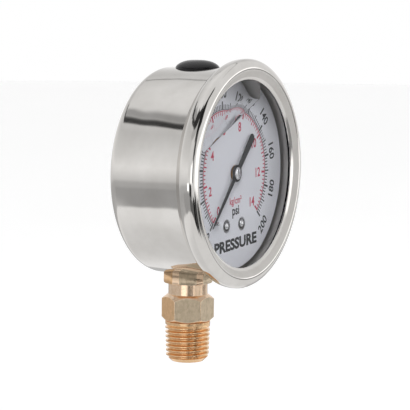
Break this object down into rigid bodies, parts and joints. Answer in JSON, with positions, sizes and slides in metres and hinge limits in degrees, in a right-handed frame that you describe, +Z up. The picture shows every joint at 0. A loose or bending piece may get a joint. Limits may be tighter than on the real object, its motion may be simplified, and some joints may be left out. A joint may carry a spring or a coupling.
{
  "type": "pressure gauge",
  "caption": "Round liquid-filled Bourdon-tube pressure gauge with a dial and pointer behind a window, a crimped bezel and a bottom taper-thread stem.",
  "frame": {"origin": "centre of the end face of the threaded stem, where pressure comes in", "axes": "+Z up along the stem's thread axis, from the stem to the case; the dial faces -Y and the case's back faces +Y; +X to the right of someone reading the dial"},
  "size_m": [0.069, 0.0313, 0.0933],
  "materials": {
    "polished_stainless": "polished, bright, with faint spun lines round the case",
    "brass": "machined, bright, with drawn grain along the bar flats",
    "bronze": "drawn phosphor bronze, satin",
    "steel": "turned, satin",
    "black_rubber": "moulded, satin black",
    "dial_white": "white enamel with printed black and red scales",
    "pointer_black": "semi-matt black enamel",
    "clear_window": "clear, glossy"
  },
  "bodies": {
    "gauge_body": {"case_shell": "polished_stainless", "bezel_ring": "polished_stainless", "window_lens": "clear_window", "window_gasket": "black_rubber", "socket_stem": "brass", "restrictor_screw": "brass", "case_seal": "black_rubber", "bourdon_tube": "bronze", "movement_front_plate": "brass", "movement_back_plate": "brass", "pillar_left": "brass", "pillar_right": "brass", "pillar_lower": "brass", "movement_screw_left": "steel", "movement_screw_right": "steel", "front_bush": "brass", "hairspring": "bronze", "hairspring_stud": "brass", "dial_plate": "dial_white", "dial_screw_left": "steel", "dial_screw_right": "steel", "stop_pin": "steel"},
    "pointer": {"pointer_blade": "pointer_black", "pointer_hub": "brass", "pinion_shaft": "steel", "hairspring_collet": "brass"},
    "sector": {"sector_gear": "brass", "sector_arbor": "steel", "link_pin_sector": "steel"},
    "tip": {"tube_tip": "brass", "link_pin_tip": "steel"},
    "link": {"link_rod": "steel"},
    "plug": {"fill_plug": "black_rubber"}
  },
  "joints": [
    {"name": "pointer_turn", "type": "hinge", "parent": "gauge_body", "child": "pointer", "pos_m": [0, -0.008, 0.0588], "axis": [0, 1, 0], "range_deg": [0, 270], "deforming": ["hairspring"]},
    {"name": "sector_turn", "type": "hinge", "parent": "gauge_body", "child": "sector", "pos_m": [0.01106, -0.0066, 0.05106], "axis": [0, 1, 0], "range_deg": [-34, 0]},
    {"name": "tip_flex", "type": "hinge", "parent": "gauge_body", "child": "tip", "pos_m": [-0.00108, 0, 0.05943], "axis": [0, 1, 0], "range_deg": [-9.1, 0], "deforming": ["bourdon_tube"]},
    {"name": "link_swing", "type": "hinge", "parent": "tip", "child": "link", "pos_m": [0.02065, -0.006, 0.04955], "axis": [0, 1, 0], "range_deg": [-7.8, 0]},
    {"name": "plug_pull", "type": "slide", "parent": "gauge_body", "child": "plug", "axis": [0, 0, 1], "range_m": [0, 0.012]}
  ],
  "couplings": [
    {"joint": "sector_turn", "follows": "pointer_turn", "ratio": -0.125},
    {"joint": "tip_flex", "follows": "pointer_turn", "ratio": -0.033333},
    {"joint": "link_swing", "follows": "pointer_turn", "ratio": -0.028518}
  ]
}
